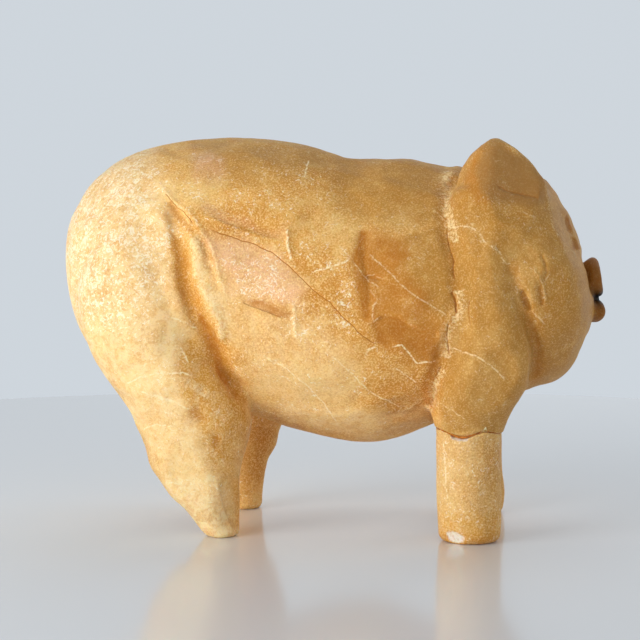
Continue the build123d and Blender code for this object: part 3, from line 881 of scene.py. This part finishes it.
def threads(skin, table):
    """Offset of each vertex from the nearest of a set of lines, in half widths, and its strength."""
    nearest = np.full(len(skin.co), np.inf)
    offset = np.ones(len(skin.co))
    strength = np.zeros(len(skin.co))
    for name, (width, power) in table.items():
        for distance, side, along in skin.line(name):
            nearer = distance < nearest
            nearest[nearer] = distance[nearer]
            offset[nearer] = (side * distance / (THREAD_REACH * width))[nearer]
            held = smooth_step(THREAD_REACH * width, 0.6 * THREAD_REACH * width, distance)
            strength[nearer] = (power * tapered(along, 0.06) * held)[nearer]
    return offset, strength


def paint(skin, **amounts):
    """Keeps the marks that the stone reads, with nothing for those that aren't given."""
    for name in MARKS:
        skin.colour(name, amounts.get(name, np.zeros(len(skin.co))))


def colour_body(skin):
    """Marks that the block's material reads."""
    snout = snout_zone(skin)
    amounts = {name: np.zeros(len(skin.co)) for name in MARKS}
    for outline, soft, _, powers in PATCHES_PX.values():
        inside = skin.patch(outline, soft) * off_middle(skin, outline)
        for name, power in powers.items():
            amounts[name] = np.maximum(amounts[name], power * inside)
    amounts["vein_side"], amounts["vein"] = threads(skin, VEINS)
    cracks = {name: (width, power) for name, (_, _, width, power) in CRACKS.items()}
    amounts["crack_side"], amounts["crack"] = threads(skin, cracks)
    amounts["crumb"] = marks(skin, CRUMBS)
    # Painted shade in the grooves, as darker amber
    groove_shade = marks(skin, GROOVE_SHADE)
    amounts["amber"] = np.maximum(amounts["amber"], groove_shade)
    disc = np.minimum(disc_nearness(skin, NOSE_DISC), disc_nearness(skin, LOWER_LIP))
    nose = snout * smooth_step(67.0, 68.5, skin.co[:, 0]) * smooth_step(1.3, 1.08, disc)
    across = np.abs(skin.co[:, 1]) - NOSTRIL_OFFSET
    nostrils = np.exp(-(across ** 2 + (skin.co[:, 2] - NOSE_DISC[0]) ** 2) / NOSTRIL_REACH ** 2)
    nostrils = nostrils * smooth_step(71.0, 72.0, skin.co[:, 0])
    # Painted shade on the snout, which lies in the shade of the cheek
    amounts["umber"] = np.maximum(amounts["umber"], 0.9 * nose)
    # Painted shadow in the mouth and the nostrils, on the snout
    mouth = np.exp(-np.sum(((skin.co - MOUTH_PLACE) / MOUTH_SIZE) ** 2, axis=1))
    amounts["hole_shadow"] = np.maximum(1.6 * mouth, 0.6 * nostrils) * nose
    for name in ("wear", "haze", "rosy"):
        amounts[name] = amounts[name] * (1 - nose)
    paint(skin, **amounts)


def carve_leg():
    """The lower right foreleg, with its ragged rim and chipped toe."""
    piece = even_grid("right_foreleg", "mended_leg", LEG_GRID)
    skin = Skin(piece, "right_foreleg")
    skin.settle()
    random = np.random.default_rng(SEED)
    free = smooth_step(0.2, 2.5, break_nearness(skin)) * smooth_step(0.2, 2.0, skin.co[:, 2])
    skin.relax(3, free)
    for pick in random.choice(np.flatnonzero(free > 0.9), 26, replace=False):
        facing = skin.normal[pick] * (1, 1, 0.3)
        facing /= np.linalg.norm(facing)
        depth = random.uniform(0.05, 0.22)
        cut_flat(skin, free, skin.co[pick], facing, depth, random.uniform(4, 9), 2 * depth)
    skin.refresh()
    amount = 0.12 * grain(skin.co, 7.0, 11) + 0.07 * grain(skin.co, 2.6, 12)
    skin.push(amount * free)
    skin.refresh()
    ragged = 0.22 * grain(skin.co, 0.9, 13) + 0.15 * grain(skin.co, 2.0, 14)
    toe = skin.under(TOE_CHIP_PX)
    chip = cut_flat(skin, 1.0, toe, turned(skin, toe, -0.1, -0.45), 0.5, 3.2, 1.2)
    lip = skin.under(LIP_CHIP_PX)
    chip = np.maximum(chip, cut_flat(skin, 1.0, lip, turned(skin, lip, -0.1, 0.9), 0.5, 2.6, 1.2))
    open_break(skin, *LEG_LIP)
    skin.refresh()
    side, vein = threads(skin, {"leg_streak": (0.3, 0.9), "leg_vein": (0.24, 0.7)})
    left = smooth_step(46, 36, skin.co[:, 0])
    paint(
        skin,
        bruise=0.9 * smooth_step(0.15, 0.4, chip + ragged * (chip > 0.02)),
        vein_side=side,
        vein=vein,
        gold=0.8 * smooth_step(12, 5, skin.co[:, 2]),
        amber=0.5 * smooth_step(4.5, 0.8, skin.co[:, 2]),
        # Painted shade over the whole leg, which stands on the shaded side
        deep=np.full(len(skin.co), 0.3),
        streak=np.full(len(skin.co), 0.5),
        # Paler towards the left side, which faces the key lamp: partly pale streaks, partly painted sheen
        haze=0.08 + 0.2 * left,
        wear=np.full(len(skin.co), 0.25),
    )
    return piece


def set_glue():
    """The film of glue in the break, with a bead that ran out of it."""
    piece = even_grid("foreleg_glue", "glue_film", GLUE_GRID)
    skin = Skin(piece, "foreleg_glue")
    skin.settle()
    offset = skin.co - BREAK_CENTRE
    outward = offset * (1, 1, 0) / np.hypot(offset[:, 0], offset[:, 1])[:, None].clip(0.1)
    rim = smooth_step(0.8, 0.95, np.hypot(offset[:, 0], offset[:, 1]) / LEG_RADIUS)
    bead = skin.spot(GLUE_BEAD_PX, 0.6, 1.8, far=False)
    spread = -0.3 + 0.2 * grain(skin.co, 2.5, 21)
    skin.co += outward * (rim * (spread + 1.1 * bead))[:, None]
    skin.co[:, 2] += 2.6 * bead * rim * offset[:, 2]
    skin.refresh()
    skin.colour("bead", bead)
    return piece


# Materials


def linear(*parts):
    """Colour on a screen, from 0 to 255, as the renderer takes it."""
    shares = [part / 255 for part in parts]
    return tuple(part / 12.92 if part < 0.04 else ((part + 0.055) / 1.055) ** 2.4 for part in shares) + (1,)


HONEY = linear(224, 164, 80)
AMBER = linear(202, 136, 50)
CREAM = linear(242, 200, 126)
PALE = linear(254, 230, 178)
DEEP_AMBER = linear(184, 114, 32)
GOLD = linear(222, 160, 62)
# Colour of painted shade, on the sides that turn from the key lamp
PAINTED_SHADE = linear(180, 128, 54)
SHADE = linear(158, 112, 62)
# Colour of the heaviest painted shade, on the snout and in pits
HEAVY_SHADE = linear(134, 80, 14)
ROSY = linear(242, 188, 146)
GRAIN = linear(248, 212, 146)
SPECK = linear(255, 243, 214)
VEIN = linear(252, 230, 184)
CRACK = linear(172, 104, 34)
CRUMB = linear(250, 224, 170)
# Near-black painted shadow in the mouth and nostrils
HOLE_SHADOW = linear(20, 16, 10)
BRUISE = linear(250, 242, 226)


class Shader:
    """A material's nodes, added one by one."""

    def __init__(self, name):
        self.material = bpy.data.materials.new(name)
        self.material.use_nodes = True
        self.tree = self.material.node_tree
        self.surface = self.tree.nodes["Principled BSDF"]
        self.coords = self.add("TexCoord").outputs["Object"]

    def add(self, kind, inputs=None, **settings):
        """Adds a node and sets or links its inputs."""
        node = self.tree.nodes.new("ShaderNode" + kind)
        for name, value in settings.items():
            setattr(node, name, value)
        for name, value in (inputs or {}).items():
            self.join(value, node.inputs[name])
        return node

    def join(self, value, socket):
        """Links a socket, or sets it to a plain value."""
        if isinstance(value, bpy.types.NodeSocket):
            self.tree.links.new(value, socket)
        else:
            socket.default_value = value

    def noise(self, size, detail=3.0, roughness=0.55, distortion=0.0):
        """Noise with features of a size in millimetres."""
        return self.add("TexNoise", {
            "Vector": self.coords, "Scale": 1 / (size * MM), "Detail": detail, "Roughness": roughness,
            "Distortion": distortion,
        }).outputs["Fac"]

    def ramp(self, value, *stops):
        """Colours at places along a value."""
        node = self.add("ValToRGB", {"Fac": value})
        while len(node.color_ramp.elements) < len(stops):
            node.color_ramp.elements.new(1.0)
        for element, (place, colour) in zip(node.color_ramp.elements, stops):
            element.position = place
            element.color = colour
        return node.outputs["Color"]

    def span(self, value, low, high, start=0.0, end=1.0):
        """Value from low to high, stretched smoothly over start to end."""
        return self.add("MapRange", {
            "Value": value, "From Min": low, "From Max": high, "To Min": start, "To Max": end,
        }, interpolation_type="SMOOTHSTEP").outputs["Result"]

    def sum(self, kind, first, second):
        """One arithmetic step."""
        node = self.add("Math", operation=kind)
        self.join(first, node.inputs[0])
        self.join(second, node.inputs[1])
        return node.outputs[0]

    def times(self, first, second):
        """Product of two values."""
        return self.sum("MULTIPLY", first, second)

    def most(self, first, second):
        """Larger of two values."""
        return self.sum("MAXIMUM", first, second)

    def mix(self, factor, first, second):
        """Second colour over the first."""
        node = self.add("Mix", data_type="RGBA")
        self.join(factor, node.inputs[0])
        self.join(first, node.inputs[6])
        self.join(second, node.inputs[7])
        return node.outputs[2]

    def mark(self, name, strength=1.0):
        """A number kept on the mesh."""
        number = self.add("Attribute", attribute_name=name).outputs["Fac"]
        return number if strength == 1.0 else self.times(number, strength)

    def set(self, **inputs):
        """Sets or links the surface's own sockets."""
        for name, value in inputs.items():
            self.join(value, self.surface.inputs[name.replace("_", " ")])


def thread(shader, name):
    """Thin line from the marks that keep its offset and its strength."""
    off = shader.sum("ABSOLUTE", shader.mark(name + "_side"), 0.0)
    line = shader.span(off, 1.2 / THREAD_REACH, 0.5 / THREAD_REACH)
    return shader.times(line, shader.mark(name))


# Fine pale hairs in the stone: scale, width, scale of the patches that have them, and strength
HAIRS = ((3.2, 0.012, 9.0, 0.3), (5.0, 0.008, 12.0, 0.35), (9.0, 0.005, 17.0, 0.4))


def stone(name):
    """Honey-coloured stone, waxed, with pale crystals, veins and worn places, and with painted shade and
    shadow where the marks ask for them.
    """
    shader = Shader(name)
    broad = shader.noise(24.0, 4.0, 0.55, 0.4)
    colour = shader.ramp(broad, (0.36, AMBER), (0.52, HONEY), (0.70, CREAM))
    cloud = shader.noise(4.5, 5.0, 0.62, 0.3)
    colour = shader.mix(shader.span(cloud, 0.48, 0.74, 0.0, 0.6), colour, CREAM)
    colour = shader.mix(shader.span(cloud, 0.50, 0.28, 0.0, 0.55), colour, AMBER)
    held = shader.span(cloud, 0.34, 0.70, 1.0, 0.72)
    # Painted shade on the sides that turn from the key lamp, lighter where the cloud is pale
    colour = shader.mix(shader.times(shader.mark("deep"), held), colour, PAINTED_SHADE)

    veil = shader.span(shader.noise(2.4, 7.0, 0.72, 0.6), 0.40, 0.60, 0.42, 1.0)
    colour = shader.mix(shader.times(shader.mark("haze", 0.95), veil), colour, PALE)
    flush = shader.times(shader.mark("rosy"), shader.span(cloud, 0.36, 0.62, 0.35, 0.9))
    colour = shader.mix(flush, colour, ROSY)
    stains = shader.span(shader.noise(4.0, 5.0, 0.65, 0.4), 0.36, 0.60, 0.72, 1.0)
    scuffs = shader.span(shader.noise(3.0, 8.0, 0.74, 0.8), 0.44, 0.56, 1.0, 0.45)
    colour = shader.mix(shader.times(shader.mark("gold"), scuffs), colour, GOLD)
    amber = shader.times(shader.mark("amber"), stains)
    colour = shader.mix(amber, colour, DEEP_AMBER)
    # Painted shade: on flats turned from the light, and heavier on the snout and in pits
    colour = shader.mix(shader.mark("shade"), colour, SHADE)
    colour = shader.mix(shader.mark("umber"), colour, HEAVY_SHADE)

    clear = shader.most(amber, shader.mark("shade"))
    clear = shader.most(clear, shader.mark("umber", 1.3))
    clear = shader.span(clear, 0.1, 0.8, 1.0, 0.25)
    grit = shader.noise(0.45, 2.0, 0.6)
    # Fewer pale grains and specks under painted shade
    unshaded = shader.span(shader.mark("deep"), 0.0, 1.0, 1.0, 0.42)
    grains = shader.times(shader.span(grit, 0.46, 0.68, 0.0, 0.75), clear)
    colour = shader.mix(shader.times(grains, unshaded), colour, GRAIN)
    dull = shader.times(shader.span(grit, 0.48, 0.29, 0.0, 0.4), unshaded)
    dull = shader.times(dull, shader.span(shader.mark("haze"), 0.0, 1.0, 1.0, 0.4))
    colour = shader.mix(dull, colour, DEEP_AMBER)

    patches = shader.span(shader.noise(9.0, 4.0, 0.6), 0.40, 0.66)
    density = shader.sum("ADD", shader.mark("wear", 0.12), shader.times(patches, 0.06))
    crystal = shader.most(shader.noise(0.75, 2.0, 0.6, 0.8), shader.noise(1.5, 3.0, 0.6, 1.5))
    speck = shader.span(shader.sum("ADD", crystal, density), 0.67, 0.76)
    speck = shader.times(shader.times(speck, clear), unshaded)
    colour = shader.mix(shader.times(speck, 0.72), colour, SPECK)

    broken = shader.span(shader.noise(0.9, 3.0, 0.6), 0.36, 0.60, 0.1, 1.0)
    hairs = 0.0
    for size, width, patch, strength in HAIRS:
        fibre = shader.noise(size, 2.0, 0.5, 1.4)
        line = shader.span(shader.sum("ABSOLUTE", shader.sum("SUBTRACT", fibre, 0.5), 0.0), width, 0.0)
        where = shader.span(shader.noise(patch, 2.0), 0.54, 0.66, 0.0, strength)
        where = shader.most(where, shader.mark("streak", 2.4 * strength))
        hairs = shader.most(hairs, shader.times(line, where))
    pale = shader.times(shader.most(thread(shader, "vein"), hairs), broken)
    colour = shader.mix(pale, colour, VEIN)
    flakes = shader.sum("ADD", shader.noise(0.8, 5.0, 0.8), shader.mark("crumb", 0.26))
    crumb = shader.span(flakes, 0.61, 0.77)
    crumb = shader.times(crumb, shader.span(shader.mark("crumb"), 0.02, 0.25))
    colour = shader.mix(shader.times(crumb, 0.75), colour, CRUMB)
    colour = shader.mix(thread(shader, "crack"), colour, CRACK)
    scuffed = shader.span(shader.noise(0.7, 3.0), 0.3, 0.6, 0.55, 1.0)
    colour = shader.mix(shader.times(shader.mark("bruise"), scuffed), colour, BRUISE)
    # Painted shadow in the mouth and nostrils
    colour = shader.mix(shader.mark("hole_shadow"), colour, HOLE_SHADOW)

    rough = shader.span(cloud, 0.3, 0.7, 0.46, 0.6)
    rough = shader.sum("ADD", rough, shader.times(speck, 0.1))
    height = shader.sum("ADD", shader.times(cloud, 0.5), shader.times(grit, 0.2))
    bump = shader.add("Bump", {"Strength": 0.5, "Distance": 0.5 * MM, "Height": height})
    shader.set(Base_Color=colour, Roughness=rough, Normal=bump.outputs["Normal"], Specular_IOR_Level=0.25)
    shader.set(Subsurface_Weight=0.3, Subsurface_Radius=(1.0, 0.5, 0.2), Subsurface_Scale=2.0 * MM)
    return shader.material


def glue(name):
    """Set adhesive: glossy amber, with a paler bead."""
    shader = Shader(name)
    cloud = shader.noise(1.2, 3.0)
    colour = shader.ramp(cloud, (0.3, linear(140, 70, 12)), (0.7, linear(204, 124, 34)))
    colour = shader.mix(shader.mark("bead"), colour, linear(246, 226, 176))
    rough = shader.span(cloud, 0.3, 0.7, 0.12, 0.3)
    bump = shader.add("Bump", {"Strength": 0.3, "Distance": 0.1 * MM, "Height": cloud})
    shader.set(Base_Color=colour, Roughness=rough, Normal=bump.outputs["Normal"])
    shader.set(Subsurface_Weight=0.3, Subsurface_Radius=(1.0, 0.5, 0.1), Subsurface_Scale=1.0 * MM)
    return shader.material


def dress(piece, material, node):
    """Gives a piece its material and its body, and hides the solid of the node that it stands for."""
    piece.data.materials.clear()
    piece.data.materials.append(material)
    piece.data.polygons.foreach_set("use_smooth", np.ones(len(piece.data.polygons), dtype=bool))
    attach(piece, "root")
    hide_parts(node)


dress(carve_body(), stone("honey_stone"), "carved_block")
dress(carve_leg(), stone("leg_stone"), "right_foreleg")
dress(set_glue(), glue("amber_glue"), "foreleg_glue")


# Floor, light and camera

FLOOR_RADIUS = 0.34
FLOOR_SIDES = 128
FLOOR_COLOUR = (0.82, 0.84, 0.86, 1)
SKY_COLOUR = (0.62, 0.67, 0.72, 1)
SKY_LIGHT = 0.42
# Lamps: place, size and power
LAMPS = {
    "key": ((-0.46, -0.43, 0.13), 0.4, 3.5),
    "fill": ((0.15, -1.0, 0.08), 0.9, 2.6),
    "rim": ((0.1, 0.4, 0.75), 0.6, 1.1),
    "back": ((0.2, 0.95, 0.2), 0.6, 4.0),
    "front": ((0.95, 0.25, 0.25), 0.5, 1.4),
}


def lay_floor():
    """Pale, slightly glossy table top."""
    mesh = bpy.data.meshes.new("floor")
    turns = [2 * math.pi * side / FLOOR_SIDES for side in range(FLOOR_SIDES)]
    rim = [(FLOOR_RADIUS * math.cos(turn), FLOOR_RADIUS * math.sin(turn), 0) for turn in turns]
    mesh.from_pydata(rim, [], [range(FLOOR_SIDES)])
    floor = bpy.data.objects.new("floor", mesh)
    bpy.context.scene.collection.objects.link(floor)
    shader = Shader("floor")
    shader.set(Base_Color=FLOOR_COLOUR, Roughness=0.14, Specular_IOR_Level=0.35)
    mesh.materials.append(shader.material)


def hang_lamp(name, place, size, power):
    """Soft square lamp that faces the figure."""
    lamp = bpy.data.lights.new(name, "AREA")
    lamp.size = size
    lamp.energy = power
    holder = bpy.data.objects.new(name, lamp)
    holder.visible_camera = False
    holder.visible_glossy = False
    holder.location = place
    aim = Vector(CAMERA_TARGET * MM) - Vector(place)
    holder.rotation_euler = aim.to_track_quat("-Z", "Y").to_euler()
    bpy.context.scene.collection.objects.link(holder)


def light_scene():
    """A soft key from the left, a weak fill, and a pale surround."""
    for name, (place, size, power) in LAMPS.items():
        hang_lamp(name, place, size, power)
    world = bpy.data.worlds.new("surround")
    bpy.context.scene.world = world
    world.use_nodes = True
    tree = world.node_tree
    back = tree.nodes["Background"]
    back.inputs["Color"].default_value = SKY_COLOUR
    path = tree.nodes.new("ShaderNodeLightPath")
    seen = tree.nodes.new("ShaderNodeMath")
    seen.operation = "MAXIMUM"
    tree.links.new(path.outputs["Is Camera Ray"], seen.inputs[0])
    tree.links.new(path.outputs["Is Glossy Ray"], seen.inputs[1])
    also = tree.nodes.new("ShaderNodeMath")
    also.operation = "MAXIMUM"
    tree.links.new(seen.outputs[0], also.inputs[0])
    tree.links.new(path.outputs["Is Transmission Ray"], also.inputs[1])
    level = tree.nodes.new("ShaderNodeMapRange")
    level.inputs["To Min"].default_value = SKY_LIGHT
    level.inputs["To Max"].default_value = 1.0
    tree.links.new(also.outputs[0], level.inputs["Value"])
    tree.links.new(level.outputs["Result"], back.inputs["Strength"])


def place_camera():
    """Camera at the photograph's viewing angle."""
    lens = bpy.data.cameras.new("camera")
    lens.sensor_width = SENSOR_MM
    lens.lens = FOCAL_PX / IMAGE_PX * SENSOR_MM
    lens.clip_start = 10 * MM
    camera = bpy.data.objects.new("camera", lens)
    axes = Matrix((CAMERA_RIGHT, CAMERA_UP, CAMERA_BACK)).transposed().to_4x4()
    camera.matrix_world = Matrix.Translation(Vector(CAMERA_PLACE * MM)) @ axes
    bpy.context.scene.collection.objects.link(camera)
    bpy.context.scene.camera = camera


lay_floor()
light_scene()
place_camera()
bpy.context.scene.view_settings.view_transform = "Standard"
